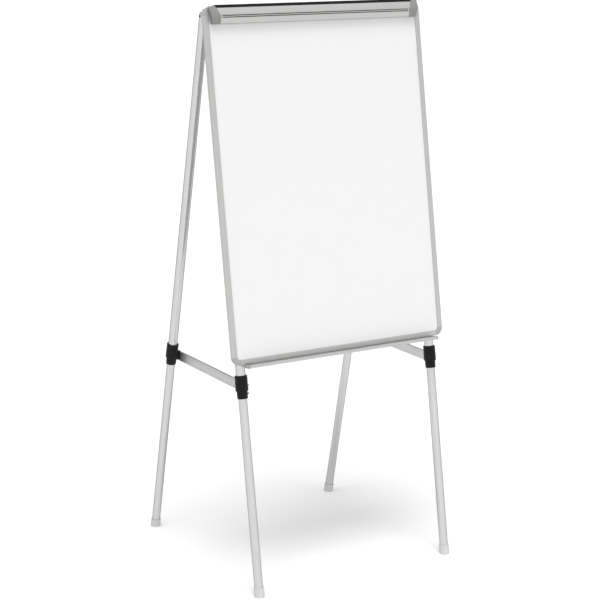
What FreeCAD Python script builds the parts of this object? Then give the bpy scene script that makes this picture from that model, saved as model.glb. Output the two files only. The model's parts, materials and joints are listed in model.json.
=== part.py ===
import FreeCAD, Part
import math
import os

# A free-standing flipchart easel: a framed whiteboard on two front tubes, a hinged pair of
# rear tubes, four telescoping legs with twist locks, two side stays, a pad clamp and a tray.
# Millimetres and degrees. +X is the easel's right seen from the front, +Y is behind it,
# +Z is up, and the origin is on the floor under the middle of its footprint.

V = FreeCAD.Vector

# ---- driving dimensions ----
BOARD_W = 710.0
BOARD_H = 985.0
TOP_Z = 1629.0          # height of the board's top edge
LEAN = 9.0              # the board and the front legs lean back
REAR_ANGLE = 13.0       # the rear legs slope back
LEG_X = 320.0           # from the middle plane to each leg's axis

FRAME_FACE = 16.0
FRAME_DEPTH = 13.0
FRAME_WALL = 3.0
CORNER_R = 25.0
SHEET_T = 0.4
CORE_T = 6.0
BACK_T = 0.3
PANEL_PLAY = 0.2        # between the panel and the frame's groove

UPPER_R = 13.5
UPPER_BORE_R = 12.5
LOWER_R = 12.2
LOWER_BORE_R = 11.1
LOWER_LENGTH = 1060.0
TUBE_N = 26.7           # the front tubes' axes behind the board's front plane
FRONT_COLLAR_S = 1015.0
REAR_COLLAR_S = 1004.0

HINGE_S = 20.0          # rear hinge axis: below the board's top edge
HINGE_N = 62.0          # and behind its front plane
CROSS_R = 11.0
CROSS_WALL = 1.2
RUNNING = 0.08          # radial clearance of a turning fit
REAR_TOP = -6.0         # the rear tubes' upper ends, from the hinge axis down
CROSS_END = 306.0       # half length of the cross tube
PLUG_HEAD = 4.0
PLUG_STEM = 12.0
BRACKET_HALF = 18.0     # half width of a bracket or clip round its tube
EAR_X0, EAR_X1 = 240.0, 266.0
EAR_R = 16.0
CLIP_S0, CLIP_S1 = 915.0, 945.0
CLIP_BACK = 44.0
SCREW_R = 3.4
SCREW_H = 2.0

COLLAR_H = 44.0
COLLAR_TOP_R = 17.6
COLLAR_LOW_R = 18.3
TUBE_SEAT = 34.0        # how deep the upper tube sits in its collar
SPIGOT_R = 13.9
SPIGOT_END = 58.0
SPIGOT_BORE_R = 12.75
RING_R = 15.2
RING_TOP = 44.6
RING_END = 66.0
FLUTES = 16
FLUTE_R = 1.0
SCREW_DROP = 24.0       # the collar's fixing screw below its top face
SCREW_OUT = 17.6        # and its seat's distance from the tube's axis

STAY_DROP = 44.0        # stay pins below the collars' top faces
STAY_BACK = 20.0        # the stay's pivot behind the front tube's axis
LUG_X0, LUG_X1 = 16.2, 22.8
STAY_X0, STAY_X1 = 23.2, 30.2
STUD_X0 = 19.0
STAY_HALF = 14.0
STAY_WALL = 1.5
STAY_LIP = 4.5
STAY_GROOVE_Z = 8.0     # the two lines along the stay's web, off its middle
PIVOT_R = 3.0
HOOK_PIN_R = 4.0
HOOK_GAP = 0.4
HOOK_WALL = 4.0
HOOK_FLOOR = 5.6

FOOT_R = 15.0
FOOT_TOP_R = 13.4
FOOT_H = 27.0
FOOT_STRAIGHT = 13.0    # the foot's cylindrical lower stretch
TUBE_OFF_FLOOR = 8.0

CLAMP_HALF = 329.0      # half length of the clamp bar
CLAMP_AXIS_N, CLAMP_AXIS_S = -5.6, 3.5
HOOD_R = 80.0           # the hood's gentle bulge
HOOD_INSIDE_R = 65.0
KNUCKLE_R = 3.0
ROD_R = 1.5
TAB_X = (-240.0, 0.0, 240.0)
TAB_W = 16.0
TAB_PLAY = 0.4
SPRING_X = (-120.0, 120.0)
RAIL_FRONT = -2.2       # the clamp rail's front face
PEG_X = 210.0
PEG_S = 23.0
PEG_R = 2.8
PEG_TIP = -10.0
SLOT_X0, SLOT_X1 = 60.0, 300.0
SLOT_HALF = 3.0

TRAY_HALF = 315.0
TRAY_REACH = 27.0
TRAY_DEPTH = 6.0
TRAY_WALL = 2.0
TRAY_LIP = 1.5          # how far the tray's front wall rises above the board's lower edge
TRAY_CAP = 3.0

# ---- sizes that follow ----
COS_L, SIN_L = math.cos(math.radians(LEAN)), math.sin(math.radians(LEAN))
COS_R, SIN_R = math.cos(math.radians(REAR_ANGLE)), math.sin(math.radians(REAR_ANGLE))
SHEET_N0 = FRAME_WALL
SHEET_N1 = SHEET_N0 + SHEET_T
CORE_N1 = SHEET_N1 + CORE_T
BACK_N1 = CORE_N1 + BACK_T

# lengths from each leg's upper datum down to the floor, along the leg
FRONT_FLOOR_S = (TOP_Z - TUBE_N * SIN_L) / COS_L
HINGE_Z = TOP_Z - HINGE_S * COS_L - HINGE_N * SIN_L
REAR_FLOOR_S = HINGE_Z / COS_R

# the footprint is centred on the origin: foot fronts and backs lie at equal distances
front_reach = -FRONT_FLOOR_S * SIN_L + TUBE_N * COS_L - FOOT_R / COS_L
hinge_reach = -HINGE_S * SIN_L + HINGE_N * COS_L
rear_reach = hinge_reach + REAR_FLOOR_S * SIN_R + FOOT_R / COS_R
TOP_Y = -(front_reach + rear_reach) / 2

# Two upright working frames, both with x to the right, y to the back and z = -s, where s
# runs down the leg. The board's starts at the middle of its top front edge, and the rear
# legs' at the middle of their hinge axis.
BOARD = FreeCAD.Placement(V(0, TOP_Y, TOP_Z), FreeCAD.Rotation(V(1, 0, 0), -LEAN))
REAR = FreeCAD.Placement(V(0, TOP_Y + hinge_reach, HINGE_Z), FreeCAD.Rotation(V(1, 0, 0), REAR_ANGLE))
SIDES = {"left": -1.0, "right": 1.0}


# ---- helpers ----
def block(x0, x1, n0, n1, s0, s1):
    return Part.makeBox(x1 - x0, n1 - n0, s1 - s0, V(x0, n0, -s1))


def barrel(radius, s0, s1, x=0.0, n=0.0):
    """A cylinder down a leg."""
    return Part.makeCylinder(radius, s1 - s0, V(x, n, -s1))


def crosswise(radius, x0, x1, n, s):
    """A cylinder along X."""
    return Part.makeCylinder(radius, x1 - x0, V(x0, n, -s), V(1, 0, 0))


def outline(points, rounds=None):
    """A closed wire through points, with the corners in rounds ({index: radius}) as arcs."""
    rounds = rounds or {}
    starts, ends, edges = [], [], []
    for i, corner in enumerate(points):
        radius = rounds.get(i, 0.0)
        before = (points[i - 1] - corner).normalize()
        after = (points[(i + 1) % len(points)] - corner).normalize()
        if not radius:
            starts.append(corner)
            ends.append(corner)
            continue
        half = before.getAngle(after) / 2
        reach = radius / math.tan(half)
        first, last = corner + before * reach, corner + after * reach
        bisector = (before + after).normalize()
        middle = corner + bisector * (radius / math.sin(half) - radius)
        edges.append(Part.Arc(first, middle, last).toShape())
        starts.append(first)
        ends.append(last)
    for i, end in enumerate(ends):
        following = starts[(i + 1) % len(points)]
        if (following - end).Length > 1e-7:
            edges.append(Part.makeLine(end, following))
    return Part.Wire(Part.__sortEdges__(edges))


def section(points, rounds=None):
    """A face across X from (n, s) points."""
    return Part.Face(outline([V(0, n, -s) for n, s in points], rounds))


def along_x(face, x0, x1):
    shape = face.extrude(V(x1 - x0, 0, 0))
    shape.translate(V(x0, 0, 0))
    return shape


def front_view(points, n0, n1):
    """A plate across Y from (x, s) points."""
    face = Part.Face(outline([V(x, n0, -s) for x, s in points]))
    return face.extrude(V(0, n1 - n0, 0))


def side_plate(points, x0, x1, rounds=None):
    """A plate across X from (n, s) points."""
    return along_x(section(points, rounds), x0, x1)


def turned(points, rounds=None):
    """A body of revolution about the leg's axis, from (radius, s) points."""
    face = Part.Face(outline([V(r, 0, -s) for r, s in points], rounds))
    return face.revolve(V(0, 0, 0), V(0, 0, 1), 360)


def tube(r_out, r_in, s0, s1, x=0.0, n=0.0):
    return barrel(r_out, s0, s1, x, n).cut(barrel(r_in, s0, s1, x, n))


def mirrored(shape):
    return shape.mirror(V(0, 0, 0), V(1, 0, 0))


def moved(shape, x=0.0, n=0.0, s=0.0):
    copy = shape.copy()
    copy.translate(V(x, n, -s))
    return copy


def save(name, shapes, frame):
    """Place the solids in the easel and write them as one sub-part."""
    placed = []
    for shape in shapes if isinstance(shapes, list) else [shapes]:
        for solid in shape.Solids:
            copy = solid.copy()
            copy.Placement = frame.multiply(copy.Placement)
            placed.append(copy)
    whole = placed[0] if len(placed) == 1 else Part.makeCompound(placed)
    whole.exportStep("parts/" + name + ".step")


# ---- the framed board ----
def frame_section():
    """The edge profile: a channel that grips the panel, s from its outer face, n from the front."""
    back_lip = BACK_N1 + PANEL_PLAY
    points = [
        (0, 0), (0, FRAME_FACE), (FRAME_WALL, FRAME_FACE), (FRAME_WALL, FRAME_WALL),
        (back_lip, FRAME_WALL), (back_lip, FRAME_FACE), (FRAME_DEPTH, FRAME_FACE), (FRAME_DEPTH, 0),
    ]
    return section(points, {0: 3.0, 1: 1.2, 6: 1.0, 7: 2.5})


def build_board():
    profile = frame_section()
    across = BOARD_W / 2 - CORNER_R
    down = BOARD_H / 2 - CORNER_R
    middle = V(0, 0, -BOARD_H / 2)
    top = along_x(profile, -across, across)
    left = along_x(profile, -down, down)
    left.rotate(V(0, 0, 0), V(0, 1, 0), -90)
    left.translate(V(-BOARD_W / 2, 0, -BOARD_H / 2))
    corner = moved(profile, x=-across)
    corner = corner.revolve(V(-across, 0, -CORNER_R), V(0, -1, 0), 90)
    low_corner = corner.mirror(middle, V(0, 0, 1))
    save("rail_top", top, BOARD)
    save("rail_bottom", top.mirror(middle, V(0, 0, 1)), BOARD)
    save("rail_left", left, BOARD)
    save("rail_right", mirrored(left), BOARD)
    corners = [corner, mirrored(corner), low_corner, mirrored(low_corner)]
    save("frame_corners", corners, BOARD)

    for name, n0, n1 in (
        ("writing_sheet", SHEET_N0, SHEET_N1),
        ("board_core", SHEET_N1, CORE_N1),
        ("back_sheet", CORE_N1, BACK_N1),
    ):
        inset = FRAME_WALL + PANEL_PLAY
        half = BOARD_W / 2 - inset
        panel = block(-half, half, n0, n1, inset, BOARD_H - inset)
        through = [e for e in panel.Edges if abs(e.tangentAt(e.FirstParameter).y) > 0.99]
        save(name, panel.makeFillet(CORNER_R - inset, through), BOARD)


# ---- the marker tray ----
def build_tray():
    """An extruded trough: a flange under the bottom rail, a back wall, a floor and a front wall."""
    top = BOARD_H
    floor = top + TRAY_DEPTH
    bottom = floor + TRAY_WALL
    lip = top - TRAY_LIP
    front, back, flange = -TRAY_REACH, 1.5, FRAME_DEPTH - 0.5
    trough = [
        (flange, top), (flange, top + TRAY_WALL), (back, top + TRAY_WALL), (back, bottom), (front, bottom),
        (front, lip), (front + TRAY_WALL, lip), (front + TRAY_WALL, floor),
        (back - TRAY_WALL, floor), (back - TRAY_WALL, top),
    ]
    tray = side_plate(trough, -TRAY_HALF, TRAY_HALF, {4: 2.0, 5: 0.9, 6: 0.9})
    proud = 0.6
    cap_outline = [
        (front - proud, lip - proud), (back, top), (back, bottom + proud), (front - proud, bottom + proud),
    ]
    cap = side_plate(cap_outline, TRAY_HALF, TRAY_HALF + TRAY_CAP, {0: 1.5, 1: 1.0, 2: 1.0, 3: 2.5})
    save("marker_tray", tray, BOARD)
    save("tray_end_caps", [cap, mirrored(cap)], BOARD)


# ---- the pad clamp ----
def clamp_outline():
    """The clamp bar's wall: a convex hood with a bead, hung from a knuckle, ending in a jaw."""
    return [
        (-8.2, 2.6), (-13.4, 13.2), (-16.0, 25.5), (-15.2, 26.2), (-15.2, 27.8), (-16.2, 28.6), (-16.2, 30.4),
        (-15.2, 31.2), (-15.2, 32.8), (-15.8, 33.6), (-11.0, 48.5), (2.0, 48.5), (2.0, 46.9),
        (-9.8, 46.9), (-13.8, 33.8), (-13.8, 25.5), (-11.3, 14.2), (-6.9, 5.8),
    ]


def build_clamp_rail():
    """A flat rail on the top of the frame, with two slots for the pegs and three hinge tabs."""
    half, top, bottom = CLAMP_HALF - 3, -3.0, 30.0
    rail = block(-half, half, RAIL_FRONT, 0, top, bottom)
    for sign in SIDES.values():
        first, last = sorted((sign * (SLOT_X0 + SLOT_HALF), sign * (SLOT_X1 - SLOT_HALF)))
        before, behind = RAIL_FRONT - 1, 1
        slot = [block(first, last, before, behind, PEG_S - SLOT_HALF, PEG_S + SLOT_HALF)]
        for x in (first, last):
            slot.append(Part.makeCylinder(SLOT_HALF, behind - before, V(x, before, -PEG_S), V(0, 1, 0)))
        rail = rail.cut(slot)
    for x in TAB_X:
        low, high = x - TAB_W / 2, x + TAB_W / 2
        web = block(low, high, CLAMP_AXIS_N, RAIL_FRONT, CLAMP_AXIS_S - 2.8, CLAMP_AXIS_S + 2.8)
        tab = web.fuse(crosswise(KNUCKLE_R, low, high, CLAMP_AXIS_N, CLAMP_AXIS_S))
        rail = rail.fuse(tab.cut(crosswise(ROD_R, low, high, CLAMP_AXIS_N, CLAMP_AXIS_S)))
    save("clamp_rail", rail.removeSplitter(), BOARD)
    rod_end = CLAMP_HALF - 11
    save("clamp_hinge_rod", crosswise(ROD_R, -rod_end, rod_end, CLAMP_AXIS_N, CLAMP_AXIS_S), BOARD)


def build_clamp_springs():
    wire_r, coil_r, turns, pitch = 0.5, 2.3, 9, 1.2
    length = turns * pitch
    springs = []
    for x in SPRING_X:
        helix = Part.makeHelix(pitch, length, coil_r)
        end = Part.Wire(Part.makeCircle(wire_r, V(coil_r, 0, 0), V(0, 1, pitch / (2 * math.pi * coil_r))))
        coil = Part.Wire(helix.Edges).makePipeShell([end], True, True)
        coil.rotate(V(0, 0, 0), V(0, 1, 0), 90)
        coil.translate(V(x - length / 2, CLAMP_AXIS_N, -CLAMP_AXIS_S))
        foot_s = CLAMP_AXIS_S + coil_r
        rail_leg = RAIL_FRONT - 0.6 - CLAMP_AXIS_N
        bar_leg = 1.0
        to_rail = Part.makeCylinder(wire_r, rail_leg, V(x - length / 2, CLAMP_AXIS_N, -foot_s), V(0, 1, 0))
        to_bar = Part.makeCylinder(wire_r, bar_leg, V(x + length / 2, CLAMP_AXIS_N, -foot_s), V(0, -1, 0))
        springs.append(coil.fuse([to_rail, to_bar]))
    save("clamp_springs", springs, BOARD)


def build_clamp_bar():
    rounds = {1: HOOD_R, 2: 1.5, 9: 1.5, 10: 1.2, 15: 2.0, 16: HOOD_INSIDE_R}
    wall = side_plate(clamp_outline(), -CLAMP_HALF, CLAMP_HALF, rounds)
    bore = crosswise(ROD_R + RUNNING, -CLAMP_HALF, CLAMP_HALF, CLAMP_AXIS_N, CLAMP_AXIS_S)
    bar = wall.fuse(crosswise(KNUCKLE_R, -CLAMP_HALF, CLAMP_HALF, CLAMP_AXIS_N, CLAMP_AXIS_S)).cut(bore)
    gap = TAB_W / 2 + TAB_PLAY
    for x in TAB_X + SPRING_X:
        bar = bar.cut(block(x - gap, x + gap, -9.2, 0, -1, 7.6))
    save("clamp_bar", bar.removeSplitter(), BOARD)

    grip_end, grip_t, jaw_n, jaw_s = CLAMP_HALF - 20, 0.6, 2.0, 48.5
    save("clamp_grip_strip", block(-grip_end, grip_end, jaw_n, jaw_n + grip_t, jaw_s - 4, jaw_s), BOARD)

    skin = [
        (CLAMP_AXIS_N, 0.1), (-8.0, 0.1), (-14.2, 12.6), (-16.9, 25.3), (-17.1, 30.0), (-16.7, 33.8),
        (-11.6, 49.3), (-1.0, 49.3), (-1.0, 44.0), (-3.0, 40.0), (-3.0, CLAMP_AXIS_S),
    ]
    cap = side_plate(skin, CLAMP_HALF - 24, BOARD_W / 2, {1: 2.0, 2: HOOD_R, 3: 2.0, 5: 2.0, 6: 1.5})
    face = front_view([(342, 0), (334, 49.5), (310, 49.5), (310, 27), (322, 0)], -20, 3)
    outside = clamp_outline()[:12] + [(-2.5, 46.0), (-2.5, 2.6)]
    filled = side_plate(outside, 0, CLAMP_HALF, {1: HOOD_R})
    hollow = filled.fuse(crosswise(KNUCKLE_R, 0, CLAMP_HALF, CLAMP_AXIS_N, CLAMP_AXIS_S))
    cap = cap.common(face).cut(hollow)
    cap = max(cap.Solids, key=lambda solid: solid.Volume)
    save("clamp_cap_right", cap, BOARD)
    save("clamp_cap_left", mirrored(cap), BOARD)


def build_pad_hooks():
    """Pegs that slide in the clamp rail's slots, to carry a pad by its punched holes."""
    play = 0.3
    shoulder_n = RAIL_FRONT - play - 0.1
    neck_half = SLOT_HALF - play
    slider = block(-8, 8, play, play + 2, PEG_S - 5.5, PEG_S + 5.5)
    neck = block(-5, 5, shoulder_n, play, PEG_S - neck_half, PEG_S + neck_half)
    shoulder = block(-7, 7, shoulder_n - 1, shoulder_n, PEG_S - 5, PEG_S + 5)
    peg = Part.makeCylinder(PEG_R, shoulder_n - 1 - PEG_TIP, V(0, PEG_TIP, -PEG_S), V(0, 1, 0))
    peg = peg.makeChamfer(0.7, [e for e in peg.Edges if abs(e.CenterOfMass.y - PEG_TIP) < 0.01])
    hook = slider.fuse([neck, shoulder, peg])
    for side, sign in SIDES.items():
        save("pad_hook_" + side, moved(hook, x=sign * PEG_X), BOARD)


# ---- tubes and their fittings ----
def tube_plug(top):
    """A round-headed plug in the upper end of a tube."""
    head, stem = top - PLUG_HEAD, top + PLUG_STEM
    plug_outline = [
        (0, head), (UPPER_R, head), (UPPER_R, top), (UPPER_BORE_R, top), (UPPER_BORE_R, stem), (0, stem),
    ]
    return turned(plug_outline, {1: 2.0})


def build_upper_tubes():
    front_top = 6.0
    for side, sign in SIDES.items():
        front = tube(UPPER_R, UPPER_BORE_R, front_top, FRONT_COLLAR_S + TUBE_SEAT, sign * LEG_X, TUBE_N)
        save("front_tube_" + side, front, BOARD)
        rear = tube(UPPER_R, UPPER_BORE_R, REAR_TOP, REAR_COLLAR_S + TUBE_SEAT, sign * LEG_X)
        save("rear_tube_" + side, rear, REAR)
    front_plugs = [moved(tube_plug(front_top), sign * LEG_X, TUBE_N) for sign in SIDES.values()]
    rear_plugs = [moved(tube_plug(REAR_TOP), sign * LEG_X) for sign in SIDES.values()]
    save("front_tube_plugs", front_plugs, BOARD)
    save("rear_tube_plugs", rear_plugs, REAR)
    cross = crosswise(CROSS_R, -CROSS_END, CROSS_END, 0, 0)
    cross = cross.cut(crosswise(CROSS_R - CROSS_WALL, -CROSS_END, CROSS_END, 0, 0))
    save("rear_cross_tube", cross, REAR)


def build_saddles():
    """Sockets on the ends of the cross tube, hollowed to sit against the rear tubes."""
    socket_r, reach, wrap = 14.5, 44.0, 8.0
    pad_half, pad_end = 9.0, 30.0
    saddle = crosswise(socket_r, LEG_X - reach, LEG_X - wrap, 0, 0)
    pad = block(LEG_X - wrap - pad_half, LEG_X - wrap, -pad_half, pad_half, 0, pad_end)
    saddle = saddle.fuse(pad).cut(barrel(UPPER_R, -socket_r - 1, pad_end + 1, LEG_X))
    saddle = saddle.cut(crosswise(CROSS_R, LEG_X - reach - 1, CROSS_END, 0, 0)).removeSplitter()
    save("cross_saddle_right", saddle, REAR)
    save("cross_saddle_left", mirrored(saddle), REAR)


def tube_holder(n0, n1, s0, s1, corner_r):
    """A block round the right front tube, with its rear corners rounded."""
    holder = block(LEG_X - BRACKET_HALF, LEG_X + BRACKET_HALF, n0, n1, s0, s1)
    rear = [
        e for e in holder.Edges if abs(e.tangentAt(e.FirstParameter).z) > 0.99 and e.CenterOfMass.y > n0 + 1
    ]
    return holder.makeFillet(corner_r, rear)


def build_brackets():
    """Top brackets join the board, the front tube and the hinge; clips hold the tubes lower down."""
    seat, back, top, bottom, base_end = FRAME_DEPTH, 43.2, 4.0, 44.0, 36.0
    sleeve = tube_holder(seat, back, top, bottom, 12)
    arm = block(EAR_X0 - 2, LEG_X - 10, seat, 24, top, base_end)
    ear_outline = [(seat, top), (HINGE_N, top), (HINGE_N, base_end), (40, 40), (seat, bottom)]
    ear = side_plate(ear_outline, EAR_X0, EAR_X1).fuse(crosswise(EAR_R, EAR_X0, EAR_X1, HINGE_N, HINGE_S))
    mouth = block(LEG_X - 7, LEG_X + 7, seat - 1, TUBE_N, 0, 60)    # open towards the board
    bracket = sleeve.fuse([arm, ear]).cut([barrel(UPPER_R, 0, 60, LEG_X, TUBE_N), mouth])
    bore = crosswise(CROSS_R + RUNNING, EAR_X0 - 10, EAR_X1 + 10, HINGE_N, HINGE_S)
    bracket = bracket.cut(bore).removeSplitter()
    save("hinge_bracket_right", bracket, BOARD)
    save("hinge_bracket_left", mirrored(bracket), BOARD)

    clip = tube_holder(BACK_N1, CLIP_BACK, CLIP_S0, CLIP_S1, 14)
    clip = clip.cut(barrel(UPPER_R, CLIP_S0 - 10, CLIP_S1 + 10, LEG_X, TUBE_N))
    save("tube_clips", [clip, mirrored(clip)], BOARD)


def screw_head(x, n, s, direction):
    """A pan head standing on (x, n, s) with its crown towards direction."""
    seat = V(x, n, -s)
    head = Part.makeCylinder(SCREW_R, SCREW_H, seat, direction)
    crown = max(head.Edges, key=lambda e: (e.CenterOfMass - seat).Length if e.Closed else -1)
    return head.makeFillet(0.9, [crown])


def build_screws():
    back, down, left = V(0, 1, 0), V(0, 0, -1), V(-1, 0, 0)
    screws = [screw_head(sign * 290, 24, s, back) for sign in SIDES.values() for s in (12, 28)]
    screws += [screw_head(sign * LEG_X, CLIP_BACK, (CLIP_S0 + CLIP_S1) / 2, back) for sign in SIDES.values()]
    screws += [screw_head(x, 7, BOARD_H + TRAY_WALL, down) for x in (-270, 0, 270)]
    rear = []
    for sign in SIDES.values():
        x = sign * LEG_X
        screws.append(screw_head(x - SCREW_OUT, TUBE_N, FRONT_COLLAR_S + SCREW_DROP, left))
        rear.append(screw_head(x - SCREW_OUT, 0, REAR_COLLAR_S + SCREW_DROP, left))
        rear.append(screw_head(x + sign * UPPER_R, 0, 0, V(sign, 0, 0)))
    save("frame_screws", screws, BOARD)
    save("rear_screws", rear, REAR)


def collar_body():
    """The moulded collar on an upper tube's end, with a spigot for the lock ring."""
    body = turned(
        [
            (UPPER_R, 0), (COLLAR_TOP_R, 0), (COLLAR_LOW_R, COLLAR_H), (SPIGOT_R, COLLAR_H),
            (SPIGOT_R, SPIGOT_END), (SPIGOT_BORE_R, SPIGOT_END), (SPIGOT_BORE_R, TUBE_SEAT),
            (UPPER_R, TUBE_SEAT),
        ],
        {1: 1.2, 2: 1.0},
    )
    return body.cut(block(-COLLAR_LOW_R - 1, -SCREW_OUT, -5, 5, SCREW_DROP - 6, SCREW_DROP + 6))


def build_collars():
    """Front collars carry the stays' pivot lugs, and rear collars the hooks that the studs drop into."""
    lug_top, lug_n, collar_end = 8, 4, 43.8
    lug_outline = [(lug_n, lug_top), (lug_n + 8, lug_top), (28, 38), (20, 53), (lug_n, collar_end)]
    pivot = (STAY_BACK, STAY_DROP)
    lug = side_plate(lug_outline, LUG_X0, LUG_X1, {0: 3.0, 1: 3.0})
    lug = lug.fuse(crosswise(9, LUG_X0, LUG_X1, *pivot))
    root = block(10, LUG_X0, lug_n, lug_n + 8, lug_top, collar_end)
    front = collar_body().fuse([lug, root.cut(barrel(UPPER_R + 1, 0, 60))])
    front = front.cut(crosswise(PIVOT_R, LUG_X0 - 1, LUG_X1 + 1, *pivot)).removeSplitter()

    wall_n = -HOOK_PIN_R - HOOK_GAP
    floor_s = STAY_DROP + HOOK_PIN_R + HOOK_GAP
    front_n, hook_top, tip_n = wall_n - HOOK_WALL, 22, 8
    hook_end = floor_s + HOOK_FLOOR
    hook_outline = [
        (front_n, hook_top), (wall_n, hook_top), (wall_n, floor_s), (tip_n, floor_s), (tip_n, hook_end),
        (front_n + 3, hook_end), (front_n, hook_end - 3.5),
    ]
    hook = side_plate(hook_outline, LUG_X0, LUG_X1, {0: 1.5, 1: 1.5, 3: 1.5, 4: 1.5})
    root = block(8, LUG_X0, front_n, wall_n, hook_top, collar_end)
    rear = collar_body().fuse([hook, root.cut(barrel(UPPER_R + 1, 0, 60))]).removeSplitter()
    for side, sign in SIDES.items():
        save("collar_front_" + side, moved(front, sign * LEG_X, TUBE_N, FRONT_COLLAR_S), BOARD)
        save("collar_rear_" + side, moved(rear, sign * LEG_X, 0, REAR_COLLAR_S), REAR)


def collet():
    """The split wedge ring that the lock ring squeezes onto the lower tube."""
    bore_r, wide_r, narrow_r = LOWER_R + 0.1, 13.8, 13.1
    top, bottom, slit = SPIGOT_END + 0.2, SPIGOT_END + 6, 1.2
    ring = turned([(bore_r, top), (wide_r, top), (narrow_r, bottom), (bore_r, bottom)])
    return ring.cut(block(0, 20, -slit / 2, slit / 2, top - 1, bottom + 1))


def lock_ring():
    """The fluted ring on the collar's spigot; its inner shelf presses on the collet."""
    mouth_r, shelf_s = LOWER_R + 0.5, RING_END - 1.7
    ring = turned(
        [
            (SPIGOT_R + RUNNING, RING_TOP), (RING_R, RING_TOP), (RING_R, RING_END), (mouth_r, RING_END),
            (mouth_r, shelf_s), (SPIGOT_R + RUNNING, shelf_s),
        ],
        {1: 0.5, 2: 2.2},
    )
    flute_at = RING_R + 0.6
    for i in range(FLUTES):
        angle = 2 * math.pi * i / FLUTES
        ring = ring.cut(barrel(FLUTE_R, 47, 61, flute_at * math.cos(angle), flute_at * math.sin(angle)))
    return ring


def build_locks():
    for row, frame, n, start in (("front", BOARD, TUBE_N, FRONT_COLLAR_S), ("rear", REAR, 0, REAR_COLLAR_S)):
        collets = [moved(collet(), sign * LEG_X, n, start) for sign in SIDES.values()]
        save(row + "_collets", collets, frame)
        for side, sign in SIDES.items():
            save("lock_ring_" + row + "_" + side, moved(lock_ring(), sign * LEG_X, n, start), frame)


# ---- telescoping lower legs ----
def foot(floor_s, frame, x, n):
    """A rubber boot on the tube's end, its sole cut flat on the floor."""
    boot = turned(
        [
            (0, floor_s - TUBE_OFF_FLOOR), (LOWER_R, floor_s - TUBE_OFF_FLOOR),
            (LOWER_R, floor_s - FOOT_H), (FOOT_TOP_R, floor_s - FOOT_H),
            (FOOT_R, floor_s - FOOT_STRAIGHT), (FOOT_R, floor_s + 5), (0, floor_s + 5),
        ],
        {3: 0.8},
    )
    boot = moved(boot, x, n)
    boot.Placement = frame.multiply(boot.Placement)
    ground = Part.makeBox(2000, 2000, 100, V(-1000, -1000, -100))
    return boot.cut(ground)


def build_lower_legs():
    head_r, head, stem = UPPER_BORE_R - 0.15, -8, 18
    bush_outline = [
        (0, head), (head_r, head), (head_r, 0), (LOWER_BORE_R, 0), (LOWER_BORE_R, stem), (0, stem),
    ]
    bush = turned(bush_outline, {1: 1.5})
    for row, frame, n, floor_s in (("front", BOARD, TUBE_N, FRONT_FLOOR_S), ("rear", REAR, 0, REAR_FLOOR_S)):
        end = floor_s - TUBE_OFF_FLOOR
        start = end - LOWER_LENGTH
        for side, sign in SIDES.items():
            where = row + "_" + side
            x = sign * LEG_X
            save("lower_tube_" + where, tube(LOWER_R, LOWER_BORE_R, start, end, x, n), frame)
            save("guide_bush_" + where, moved(bush, x, n, start), frame)
            save("foot_" + where, foot(floor_s, frame, x, n), FreeCAD.Placement())


# ---- side stays ----
def build_stays():
    pivot = BOARD.multVec(V(0, TUBE_N + STAY_BACK, -(FRONT_COLLAR_S + STAY_DROP)))
    hook = REAR.multVec(V(0, 0, -(REAR_COLLAR_S + STAY_DROP)))
    run = hook - pivot
    rise = math.degrees(math.atan2(run.z, run.y))
    stay_frame = FreeCAD.Placement(pivot, FreeCAD.Rotation(V(1, 0, 0), rise))
    inner = STAY_HALF - STAY_WALL
    mouth = STAY_HALF - STAY_LIP
    web = STAY_X0 + STAY_WALL
    end0, end1 = -7.0, run.Length + 9.0
    channel = block(STAY_X0, STAY_X1, end0, end1, -STAY_HALF, STAY_HALF)
    outer = [e for e in channel.Edges if e.Length > run.Length and e.CenterOfMass.x < STAY_X1 - 1]
    channel = channel.makeFillet(1.4, outer)
    channel = channel.cut(block(web, STAY_X1 - STAY_WALL, end0, end1, -inner, inner))
    channel = channel.cut(block(STAY_X1 - STAY_WALL - 1, STAY_X1 + 1, end0, end1, -mouth, mouth))
    groove_half, groove_depth = 0.6, 0.5
    for z in (-STAY_GROOVE_Z, STAY_GROOVE_Z):
        groove = block(STAY_X0 - 1, STAY_X0 + groove_depth, end0, end1, z - groove_half, z + groove_half)
        channel = channel.cut(groove)
    channel = channel.cut(crosswise(PIVOT_R + RUNNING, STAY_X0 - 1, web + 1, 0, 0))
    shank_r, head_r, head_t = 2.5, 4.5, 1.4
    channel = channel.cut(crosswise(shank_r, STAY_X0 - 1, web + 1, run.Length, 0))
    stud = crosswise(HOOK_PIN_R, STUD_X0, STAY_X0, run.Length, 0)
    shank = crosswise(shank_r, STAY_X0, web, run.Length, 0)
    stud = stud.fuse([shank, crosswise(head_r, web, web + head_t, run.Length, 0)])

    play, washer_t = 0.3, 0.3
    washer_r, cap_r, cap_t = 6.2, 5.0, 1.5
    rivet = crosswise(PIVOT_R, LUG_X0, web + play, 0, 0)
    washer = crosswise(washer_r, LUG_X1, LUG_X1 + washer_t, 0, 0)
    rivet = rivet.fuse([washer, crosswise(cap_r, web + play, web + play + cap_t, 0, 0)])
    pivots = []
    for side, sign in SIDES.items():
        save("stay_" + side, moved(channel, sign * LEG_X), stay_frame)
        save("stay_stud_" + side, moved(stud, sign * LEG_X), stay_frame)
        pivots.append(moved(rivet, sign * LEG_X))
    save("stay_pivots", pivots, stay_frame)


os.makedirs("parts", exist_ok=True)
build_board()
build_tray()
build_clamp_rail()
build_clamp_springs()
build_clamp_bar()
build_pad_hooks()
build_upper_tubes()
build_saddles()
build_brackets()
build_screws()
build_collars()
build_locks()
build_lower_legs()
build_stays()
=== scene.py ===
import json
import math

import bmesh
import bpy
from mathutils import Matrix, Vector

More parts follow.
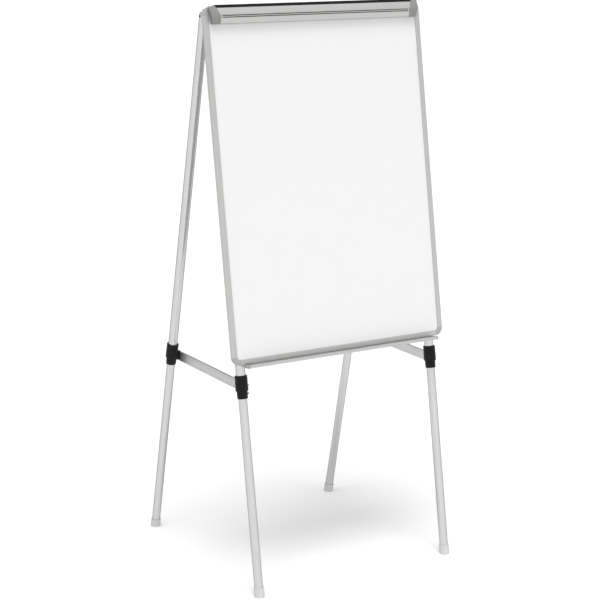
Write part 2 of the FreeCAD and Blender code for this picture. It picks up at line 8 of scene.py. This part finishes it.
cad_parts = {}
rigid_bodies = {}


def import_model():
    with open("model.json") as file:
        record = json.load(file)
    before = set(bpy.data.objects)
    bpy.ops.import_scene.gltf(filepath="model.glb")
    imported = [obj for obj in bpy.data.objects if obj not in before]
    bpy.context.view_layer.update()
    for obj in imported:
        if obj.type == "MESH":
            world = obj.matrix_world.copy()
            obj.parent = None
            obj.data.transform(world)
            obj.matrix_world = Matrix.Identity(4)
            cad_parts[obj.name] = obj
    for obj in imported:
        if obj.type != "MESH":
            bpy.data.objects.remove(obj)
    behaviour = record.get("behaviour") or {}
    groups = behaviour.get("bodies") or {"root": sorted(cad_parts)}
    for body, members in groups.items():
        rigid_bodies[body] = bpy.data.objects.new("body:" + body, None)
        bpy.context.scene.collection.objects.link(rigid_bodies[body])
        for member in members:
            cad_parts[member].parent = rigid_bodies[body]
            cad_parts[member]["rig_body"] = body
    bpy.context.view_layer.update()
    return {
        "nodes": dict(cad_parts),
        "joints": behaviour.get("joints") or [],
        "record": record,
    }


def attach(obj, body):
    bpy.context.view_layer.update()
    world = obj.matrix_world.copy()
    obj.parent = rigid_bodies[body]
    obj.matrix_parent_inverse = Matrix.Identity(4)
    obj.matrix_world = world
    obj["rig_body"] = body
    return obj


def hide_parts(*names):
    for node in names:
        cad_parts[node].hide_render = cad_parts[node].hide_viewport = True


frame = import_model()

# The looks of a flipchart easel: finishes for every imported part, turned lock grips, rubber
# boots, cross-recessed screws and dark strips along the clamp, two of them painted shadow in its
# grooves, a pale studio and the camera.
# Metres, in the imported frame.

NODES = frame["nodes"]
JOINTS = {joint["name"]: joint for joint in frame["joints"]}
MM = 0.001

# Each leg's axis, from its twist lock: a point on it and the direction down the leg.
LEGS = {}
for row in ("front", "rear"):
    for side in ("left", "right"):
        lock = JOINTS["lock_%s_%s_twists" % (row, side)]
        LEGS[row + "_" + side] = (Vector(lock["pos_m"]), Vector(lock["axis"]).normalized())


def slope(direction):
    """The turn about X that carries the vertical to a leg's direction."""
    return math.atan2(direction.y, -direction.z)


FRONT_SLOPE = slope(LEGS["front_left"][1])
REAR_SLOPE = slope(LEGS["rear_left"][1])


# ---- materials ----
class Finish:
    """A Principled material with helpers that drive its sockets from noise in object space."""

    def __init__(self, name, colour, roughness, **sockets):
        self.material = bpy.data.materials.new(name)
        self.material.use_nodes = True
        self.tree = self.material.node_tree
        self.shader = self.tree.nodes["Principled BSDF"]
        self.colour = colour
        self.height = None
        self.set("Base Color", (*colour, 1.0))
        self.set("Roughness", roughness)
        for socket, value in sockets.items():
            self.set(socket.replace("_", " "), value)

    def set(self, socket, value):
        self.shader.inputs[socket].default_value = value

    def noise(self, scale, stretch=(1, 1, 1), turn=0.0, detail=3.0, distortion=0.0):
        """Noise drawn out by stretch, in axes turned about X."""
        node = self.tree.nodes.new("ShaderNodeTexNoise")
        node.inputs["Scale"].default_value = scale
        node.inputs["Detail"].default_value = detail
        node.inputs["Distortion"].default_value = distortion
        self.tree.links.new(self.place(stretch, turn), node.inputs["Vector"])
        return node.outputs["Fac"]

    def cells(self, scale):
        """A random value for each cell of a crystal pattern."""
        node = self.tree.nodes.new("ShaderNodeTexVoronoi")
        node.inputs["Scale"].default_value = scale
        self.tree.links.new(self.place((1, 1, 1), 0.0), node.inputs["Vector"])
        split = self.tree.nodes.new("ShaderNodeSeparateColor")
        self.tree.links.new(node.outputs["Color"], split.inputs["Color"])
        return split.outputs["Red"]

    def place(self, stretch, turn):
        coordinates = self.tree.nodes.new("ShaderNodeTexCoord")
        mapping = self.tree.nodes.new("ShaderNodeMapping")
        mapping.vector_type = "TEXTURE"
        mapping.inputs["Rotation"].default_value = (turn, 0, 0)
        mapping.inputs["Scale"].default_value = stretch
        self.tree.links.new(coordinates.outputs["Object"], mapping.inputs["Vector"])
        return mapping.outputs["Vector"]

    def vary(self, socket, value, low, high, span=(0.3, 0.7)):
        """Drive a number from low to high."""
        node = self.tree.nodes.new("ShaderNodeMapRange")
        for name, number in zip(("From Min", "From Max", "To Min", "To Max"), (*span, low, high)):
            node.inputs[name].default_value = number
        self.tree.links.new(value, node.inputs["Value"])
        self.tree.links.new(node.outputs["Result"], self.shader.inputs[socket])

    def tint(self, value, dark, light, span=(0.3, 0.7)):
        """Drive the colour from dark to light, as shares of the finish's own colour."""
        ramp = self.tree.nodes.new("ShaderNodeValToRGB")
        for stop, place, share in zip(ramp.color_ramp.elements, span, (dark, light)):
            stop.position = place
            stop.color = (*(min(channel * share, 1.0) for channel in self.colour), 1.0)
        self.tree.links.new(value, ramp.inputs["Fac"])
        self.tree.links.new(ramp.outputs["Color"], self.shader.inputs["Base Color"])

    def bump(self, value, depth):
        """Add a relief of that depth in metres on top of any laid before."""
        node = self.tree.nodes.new("ShaderNodeBump")
        node.inputs["Distance"].default_value = depth
        node.inputs["Strength"].default_value = 1.0
        self.tree.links.new(value, node.inputs["Height"])
        if self.height:
            self.tree.links.new(self.height, node.inputs["Normal"])
        self.height = node.outputs["Normal"]
        self.tree.links.new(self.height, self.shader.inputs["Normal"])


def drawn_metal(name, colour, roughness, stretch, turn, edge=1.0, metallic=1.0):
    """Metal with fine lines the way it was drawn; an edge below 1 dulls it at a glancing angle."""
    finish = Finish(name, colour, roughness, Metallic=metallic, Specular_Tint=(edge, edge, edge, 1.0))
    lines = finish.noise(900, stretch, turn, detail=2.0)
    patches = finish.noise(9, (1, 1, 1), turn, detail=4.0, distortion=0.4)
    finish.tint(lines, 0.95, 1.03)
    finish.vary("Roughness", patches, roughness - 0.04, roughness + 0.06)
    finish.bump(lines, 6e-6)
    return finish.material


def moulded(name, colour, roughness, grain=1600.0, depth=1.2e-5, **sockets):
    """Injection-moulded plastic or rubber with a spark-eroded grain."""
    finish = Finish(name, colour, roughness, **sockets)
    pits = finish.noise(grain, detail=2.0)
    patches = finish.noise(35, detail=3.0, distortion=0.3)
    finish.tint(patches, 0.93, 1.06)
    finish.vary("Roughness", patches, roughness - 0.05, roughness + 0.07)
    finish.bump(pits, depth)
    return finish.material


def lacquered_board(name):
    """Hard white dry-wipe lacquer: a slight orange peel, and a haze left by the eraser."""
    finish = Finish(name, (0.725, 0.725, 0.727), 0.28, Coat_Weight=0.1, Coat_Roughness=0.2)
    wiped = finish.noise(7, (3.0, 1, 1), FRONT_SLOPE, detail=5.0, distortion=1.2)
    finish.tint(wiped, 0.999, 1.001)
    finish.vary("Roughness", wiped, 0.275, 0.29)
    finish.bump(finish.noise(420, detail=1.0), 4e-6)
    return finish.material


def galvanised(name):
    """Zinc-coated sheet with its crystal pattern."""
    finish = Finish(name, (0.55, 0.57, 0.58), 0.42, Metallic=0.85)
    crystals = finish.cells(140)
    finish.tint(crystals, 0.88, 1.08, (0.0, 1.0))
    finish.vary("Roughness", crystals, 0.36, 0.5, (0.0, 1.0))
    finish.bump(finish.noise(300, detail=2.0), 5e-6)
    return finish.material


def honeycomb(name):
    """The paper edge of the board's core."""
    finish = Finish(name, (0.45, 0.33, 0.21), 0.85)
    fibres = finish.noise(700, (4, 1, 4), FRONT_SLOPE, detail=5.0)
    finish.tint(fibres, 0.75, 1.2)
    finish.bump(fibres, 5e-5)
    return finish.material


# For each way a node was drawn: how far its lines are stretched, and their turn about X.
DRAWN = {
    "across": ((60, 1, 1), FRONT_SLOPE),
    "level": ((1, 60, 1), 0.0),
    "front": ((1, 1, 60), FRONT_SLOPE),
    "rear": ((1, 1, 60), REAR_SLOPE),
}
TUBE_SHADE = {"across": 0.585, "level": 0.68, "front": 0.585, "rear": 0.585}
TUBE_ROUGHNESS = {"across": 0.24, "level": 0.5, "front": 0.24, "rear": 0.24}
SLOTS = {
    "white_lacquered_steel": lambda name, way: lacquered_board(name),
    "honeycomb_core": lambda name, way: honeycomb(name),
    "galvanised_backing": lambda name, way: galvanised(name),
    "frame_aluminium": lambda name, way: drawn_metal(
        name, (0.52, 0.52, 0.512), 0.44, *DRAWN[way], edge=0.6, metallic=0.7
    ),
    "tube_aluminium": lambda name, way: drawn_metal(
        name, (TUBE_SHADE[way],) * 3, TUBE_ROUGHNESS[way], *DRAWN[way], edge=0.05
    ),
    "steel": lambda name, way: drawn_metal(name, (0.62, 0.63, 0.65), 0.28, *DRAWN[way]),
    "grey_plastic": lambda name, way: moulded(name, (0.35, 0.35, 0.345), 0.45),
    "black_plastic": lambda name, way: moulded(
        name, (0.004, 0.004, 0.0044), 0.42, Specular_IOR_Level=0.18
    ),
    "natural_nylon": lambda name, way: moulded(
        name, (0.75, 0.73, 0.68), 0.4, Subsurface_Weight=0.1
    ),
    "grip_rubber": lambda name, way: moulded(name, (0.02, 0.02, 0.02), 0.75, grain=900.0),
    "foot_rubber": lambda name, way: moulded(
        name, (0.55, 0.55, 0.545), 0.6, grain=1100.0, depth=2e-5
    ),
}
ACROSS = (
    "rail_top", "rail_bottom", "marker_tray", "clamp_rail", "clamp_bar", "rear_cross_tube",
    "clamp_hinge_rod",
)
made = {}


def way_of(node):
    """The way a node was drawn: across the easel, level, or down its front or rear legs."""
    if node in ACROSS:
        return "across"
    if node.startswith("stay_"):
        return "level"
    return "rear" if "rear" in node else "front"


def material_for(slot, way):
    """A slot's finish drawn that way, made once."""
    name = slot + "_" + way
    if name not in made:
        made[name] = SLOTS[slot](name, way)
    return made[name]


SLOT_OF = {part["node"]: part["material_slot"] for part in frame["record"]["subparts"]}
for node, piece in NODES.items():
    piece.data.materials.clear()
    if node.startswith("clamp_cap"):
        piece.data.materials.append(moulded("clamp_cap_grey", (0.22, 0.22, 0.216), 0.45))
    else:
        piece.data.materials.append(material_for(SLOT_OF[node], way_of(node)))


# ---- new pieces ----
def add_piece(name, mesh, node, stands_for=(), material=None):
    """A new smooth-shaded piece that rides with a CAD node, finished as it is unless told."""
    data = bpy.data.meshes.new(name)
    bmesh.ops.recalc_face_normals(mesh, faces=mesh.faces)
    mesh.to_mesh(data)
    mesh.free()
    piece = bpy.data.objects.new(name, data)
    bpy.context.scene.collection.objects.link(piece)
    data.shade_smooth()
    data.set_sharp_from_angle(angle=math.radians(35))
    data.materials.append(material or material_for(SLOT_OF[node], way_of(node)))
    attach(piece, NODES[node]["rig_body"])
    if stands_for:
        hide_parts(*stands_for)
    return piece


def leg_frame(where):
    """A matrix from a leg's own axes, with Z down the leg, to the easel."""
    point, down = LEGS[where]
    turn = Vector((0, 0, 1)).rotation_difference(down)
    return Matrix.Translation(point) @ turn.to_matrix().to_4x4()


def reach(node, where):
    """How far along its leg a node starts and ends, and its smallest and largest radius."""
    into_leg = leg_frame(where).inverted()
    points = [into_leg @ vertex.co for vertex in NODES[node].data.vertices]
    radii = [math.hypot(p.x, p.y) for p in points]
    return min(p.z for p in points), max(p.z for p in points), min(radii), max(radii)


def lathe(profile, segments, shape=lambda angle, radius, z: radius):
    """A closed loop of (radius, z) points turned about Z, each radius as shape() makes it."""
    mesh = bmesh.new()
    rings = []
    for radius, z in profile:
        ring = []
        for i in range(segments):
            angle = 2 * math.pi * i / segments
            r = shape(angle, radius, z)
            ring.append(mesh.verts.new((r * math.cos(angle), r * math.sin(angle), z)))
        rings.append(ring)
    for low, high in zip(rings, rings[1:] + rings[:1]):
        for i in range(segments):
            j = (i + 1) % segments
            mesh.faces.new((low[i], low[j], high[j], high[i]))
    return mesh


def arc(centre_r, centre_z, radius, start, end, steps=5):
    """Points of a profile's round, from start to end degrees, 0 pointing outward."""
    turn = [math.radians(start + (end - start) * i / steps) for i in range(steps + 1)]
    return [(centre_r + radius * math.cos(a), centre_z + radius * math.sin(a)) for a in turn]


def build_lock_grip(where):
    """A twist-lock ring with sixteen soft finger flutes and a rounded lower edge."""
    node = "lock_ring_" + where
    top, bottom, bore, outer = reach(node, where)
    low_round, top_round = 2.2 * MM, 0.6 * MM
    flutes, flute_depth, flute_power, points_per_flute = 16, 0.55 * MM, 1.5, 10
    flute_top, flute_bottom, fade = top + 2.6 * MM, bottom - 4.2 * MM, 1.6 * MM
    wall = arc(outer - top_round, top + top_round, top_round, -90, 0)
    steps = 12
    low_wall, high_wall = top + top_round, bottom - low_round
    wall += [(outer, low_wall + (high_wall - low_wall) * i / steps) for i in range(1, steps)]
    wall += arc(outer - low_round, high_wall, low_round, 0, 90)
    profile = wall + [(bore, bottom), (bore, top)]

    def fluted(angle, radius, z):
        if radius < outer - top_round:
            return radius
        run = min(z - flute_top, flute_bottom - z) / fade
        depth = flute_depth * max(0.0, min(1.0, run))
        groove = max(0.0, math.cos(flutes * angle)) ** flute_power
        return radius - depth * groove

    mesh = lathe(profile, flutes * points_per_flute, shape=fluted)
    mesh.transform(leg_frame(where))
    add_piece("lock_grip_" + where, mesh, node, [node])


def build_boot(where):
    """A rubber boot with a rolled top, two grip grooves and a flat sole on the floor."""
    node = "foot_" + where
    top, bottom, bore, outer = reach(node, where)
    neck, roll, mouth, blend = 14.4 * MM, 1.1 * MM, 1 * MM, 2 * MM
    groove_depth, groove_half, floor_half, lip_step = 0.5 * MM, 0.9 * MM, 0.35 * MM, 0.1 * MM
    shoulder = top + 13.0 * MM
    profile = [(bore, top + mouth)] + arc(neck - roll, top + roll, roll, -90, 0)
    for below_top in (5.0, 8.4):
        z = top + below_top * MM
        r = neck + (outer - neck) * (z - top) / (shoulder - top)
        profile += [
            (r - lip_step, z - groove_half), (r - groove_depth, z - floor_half),
            (r - groove_depth, z + floor_half), (r, z + groove_half),
        ]
    profile += [(outer, shoulder + blend), (outer, bottom), (bore, bottom)]
    mesh = lathe(profile, segments=72)
    mesh.transform(leg_frame(where))
    everything = mesh.verts[:] + mesh.edges[:] + mesh.faces[:]
    bmesh.ops.bisect_plane(
        mesh, geom=everything, plane_co=(0, 0, 0), plane_no=(0, 0, -1), clear_outer=True
    )
    rim = [edge for edge in mesh.edges if edge.is_boundary]
    bmesh.ops.contextual_create(mesh, geom=rim)
    add_piece("boot_" + where, mesh, node, [node])


def screw_seats(node):
    """The centre, outward direction and radius of each head's seat, its largest flat face."""

    def facing(face):
        return tuple(round(c, 3) for c in face.normal)

    mesh = bmesh.new()
    mesh.from_mesh(NODES[node].data)
    bmesh.ops.remove_doubles(mesh, verts=mesh.verts, dist=1e-6)
    left = set(mesh.faces)
    seats = []
    while left:
        island, edge_faces = set(), [left.pop()]
        while edge_faces:
            face = edge_faces.pop()
            island.add(face)
            near = {other for edge in face.edges for other in edge.link_faces} & left
            left -= near
            edge_faces += near
        areas = {}
        for face in island:
            areas[facing(face)] = areas.get(facing(face), 0.0) + face.calc_area()
        seat_normal = max(areas, key=areas.get)
        seat = [face for face in island if facing(face) == seat_normal]
        points = {vert for face in seat for vert in face.verts}
        centre = sum((vert.co for vert in points), Vector()) / len(points)
        radius = max((vert.co - centre).length for vert in points)
        seats.append((centre, -Vector(seat_normal).normalized(), radius))
    mesh.free()
    return sorted(seats, key=lambda seat: tuple(seat[0]))


def cross_screw(radius, height=2.0 * MM):
    """A pan head, z from its seat, with a tapered cross recess pressed into its crown."""
    segments, rings = 48, 14
    droop, hub_depth = 0.55 * height, 0.625 * height
    arm_half, arm_reach, depth = 0.16 * radius, 0.56 * radius, 0.5 * height
    mouth_half, side_taper, end_taper = 1.6 * arm_half, 0.7 * arm_half, 0.25 * arm_reach
    mesh = bmesh.new()
    grid = []
    for i in range(1, rings + 1):
        r = radius * i / rings
        ring = []
        for k in range(segments):
            angle = 2 * math.pi * k / segments
            x, y = r * math.cos(angle), r * math.sin(angle)
            crown = height - droop * (r / radius) ** 4
            off_arm = min(abs(x), abs(y))
            inside = max(0.0, min(1.0, (mouth_half - off_arm) / side_taper))
            inside *= max(0.0, min(1.0, (arm_reach - r) / end_taper))
            ring.append(mesh.verts.new((x, y, crown - depth * inside)))
        grid.append(ring)
    hub = mesh.verts.new((0, 0, height - hub_depth))
    base = [mesh.verts.new((v.co.x, v.co.y, 0)) for v in grid[-1]]
    for k in range(segments):
        j = (k + 1) % segments
        mesh.faces.new((hub, grid[0][k], grid[0][j]))
        for low, high in zip(grid, grid[1:] + [base]):
            mesh.faces.new((low[k], high[k], high[j], low[j]))
    mesh.faces.new(base)
    return mesh


def build_screws(node, name, material):
    """Pan heads on a node's seats, each turned a little further than the last."""
    mesh = bmesh.new()
    for i, (centre, outward, radius) in enumerate(screw_seats(node)):
        head = cross_screw(radius)
        upright = Vector((0, 0, 1)).rotation_difference(outward).to_matrix().to_4x4()
        turn = Matrix.Rotation(math.radians(SCREW_TURN * i), 4, "Z")
        head.transform(Matrix.Translation(centre) @ upright @ turn)
        loose = bpy.data.meshes.new("head")
        head.to_mesh(loose)
        head.free()
        mesh.from_mesh(loose)
        bpy.data.meshes.remove(loose)
    add_piece(name, mesh, node, [node], material)


def board_strip(name, node, half, section, material):
    """A strip along the board's top; its section's points lie behind and below the top edge."""
    down = LEGS["front_left"][1]
    back = Vector((0, -down.z, down.y))
    hinge = Vector(JOINTS["clamp_opens"]["pos_m"])
    mesh = bmesh.new()
    ends = []
    for x in (-half, half):
        ring = [hinge + back * (n - HINGE_BACK) + down * (s - HINGE_DROP) for n, s in section]
        ends.append([mesh.verts.new((x, point.y, point.z)) for point in ring])
    mesh.faces.new(ends[0])
    mesh.faces.new(ends[1][::-1])
    for i in range(len(section)):
        after = (i + 1) % len(section)
        mesh.faces.new((ends[0][i], ends[0][after], ends[1][after], ends[1][i]))
    return add_piece(name, mesh, node, material=material)


# Degrees from one screw's recess to the next one's.
SCREW_TURN = 37
# How far the clamp's hinge lies behind and below the board's top edge.
HINGE_BACK, HINGE_DROP = -5.6 * MM, 3.5 * MM
# Sections of the dark strips, in millimetres behind and below the board's top edge.
# Black strips on the rail and on the hood run along the hinge and draw the dark line there.
RAIL_HINGE_STRIP = [(-2.3, -2.9), (-7.6, -2.9), (-8.0, -2.4), (-8.0, -0.8), (-2.3, -0.8)]
HOOD_HINGE_STRIP = [
    (-7.2, 0.2), (-7.7, -0.1), (-9.1, 1.4), (-9.7, 3.4), (-10.3, 4.9), (-9.5, 4.9), (-8.8, 3.4),
    (-8.35, 1.9), (-7.4, 0.75),
]
# The two black strips in the clamp's bead grooves are painted shadow: they darken grooves too shallow
# to shade themselves.
UPPER_GROOVE_PAINTED_SHADE = [(-15.9, 26.3), (-15.1, 26.3), (-15.1, 27.7), (-15.9, 27.7)]
LOWER_GROOVE_PAINTED_SHADE = [(-15.7, 31.3), (-15.1, 31.3), (-15.1, 32.7), (-15.7, 32.7)]
BLACKENED = drawn_metal("blackened_steel", (0.05, 0.05, 0.052), 0.45, *DRAWN["front"])
BLACK = material_for("black_plastic", "across")

for where in LEGS:
    build_lock_grip(where)
    build_boot(where)
build_screws("frame_screws", "frame_screw_heads", BLACKENED)
build_screws("rear_screws", "rear_screw_heads", BLACKENED)
for name, node, half, section in (
    # black strips along the hinge line, on the rail and on the hood
    ("clamp_rail_seal", "clamp_rail", 321, RAIL_HINGE_STRIP),
    ("clamp_hood_seal", "clamp_bar", 321, HOOD_HINGE_STRIP),
    # painted shadow in the clamp's two bead grooves
    ("clamp_upper_inlay", "clamp_bar", 304.5, UPPER_GROOVE_PAINTED_SHADE),
    ("clamp_lower_inlay", "clamp_bar", 304.5, LOWER_GROOVE_PAINTED_SHADE),
):
    strip = board_strip(name, node, half * MM, [(n * MM, s * MM) for n, s in section], BLACK)


# ---- studio ----
def build_floor():
    """A white floor, wide enough to fill the picture behind the easel."""
    half = 90.0
    corners = [(-half, -half, 0), (half, -half, 0), (half, half, 0), (-half, half, 0)]
    data = bpy.data.meshes.new("floor")
    data.from_pydata(corners, [], [(0, 1, 2, 3)])
    floor = bpy.data.objects.new("floor", data)
    bpy.context.scene.collection.objects.link(floor)
    finish = Finish("studio_floor", (0.9, 0.9, 0.9), 0.65)
    finish.tint(finish.noise(3.0), 0.998, 1.002)
    data.materials.append(finish.material)


def build_world(towards_camera):
    """White studio light, brightest ahead of the board, overhead and low along the horizon."""
    world = bpy.data.worlds.new("studio")
    bpy.context.scene.world = world
    world.use_nodes = True
    tree = world.node_tree
    background = tree.nodes["Background"]
    background.inputs["Color"].default_value = (1.0, 1.0, 1.0, 1.0)
    way = tree.nodes.new("ShaderNodeTexCoord").outputs["Generated"]
    total = None
    ambient = 0.36
    mirrored_view = Vector((-towards_camera.x, towards_camera.y, towards_camera.z))
    for direction, low, high, gain in (
        (towards_camera, 0.45, 0.98, 0.45),
        (mirrored_view, 0.6, 1.0, 0.25),
        (Vector((0, 0, 1)), 0.3, 0.9, 0.62),
        (Vector((0, 0, 1)), 0.13, 0.07, 0.66),
    ):
        dot = tree.nodes.new("ShaderNodeVectorMath")
        dot.operation = "DOT_PRODUCT"
        dot.inputs[1].default_value = direction
        tree.links.new(way, dot.inputs[0])
        lobe = tree.nodes.new("ShaderNodeMapRange")
        lobe.interpolation_type = "SMOOTHSTEP"
        for name, number in zip(("From Min", "From Max", "To Min", "To Max"), (low, high, 0.0, gain)):
            lobe.inputs[name].default_value = number
        tree.links.new(dot.outputs["Value"], lobe.inputs["Value"])
        add = tree.nodes.new("ShaderNodeMath")
        add.inputs[1].default_value = ambient
        if total:
            tree.links.new(total, add.inputs[1])
        tree.links.new(lobe.outputs["Result"], add.inputs[0])
        total = add.outputs["Value"]
    tree.links.new(total, background.inputs["Strength"])


def add_sun(name, place, strength, spread):
    """A sun that shines from that direction, spread over that many degrees."""
    light = bpy.data.lights.new(name, "SUN")
    light.energy = strength
    light.angle = math.radians(spread)
    lamp = bpy.data.objects.new(name, light)
    lamp.rotation_euler = (-Vector(place)).to_track_quat("-Z", "Y").to_euler()
    bpy.context.scene.collection.objects.link(lamp)


def build_camera():
    """The camera stands to the front left, a little above the board's top, and looks down at it."""
    azimuth, pitch = math.radians(-31.09), math.radians(13.0)
    distance, lens_mm = 4.929, 101.2
    aim_behind_hinge = 0.027
    aim = Vector((-0.035, JOINTS["clamp_opens"]["pos_m"][1] + aim_behind_hinge, 0.773))
    level = math.cos(pitch)
    forward = Vector((-math.sin(azimuth) * level, math.cos(azimuth) * level, -math.sin(pitch)))
    camera = bpy.data.objects.new("camera", bpy.data.cameras.new("camera"))
    camera.data.lens = lens_mm
    camera.data.sensor_width = 36.0
    camera.data.clip_end = 300.0
    camera.location = aim - forward * distance
    camera.rotation_euler = forward.to_track_quat("-Z", "Y").to_euler()
    bpy.context.scene.collection.objects.link(camera)
    bpy.context.scene.camera = camera
    return -forward


# How far the light's direction ahead of the board rises over its run towards the camera.
LOBE_RISE = 0.25

build_floor()
to_camera = build_camera()
build_world(Vector((to_camera.x, to_camera.y, LOBE_RISE)).normalized())
add_sun("key", place=(-0.15, -0.3, 1.0), strength=1.55, spread=28)
bpy.context.scene.view_settings.view_transform = "Standard"
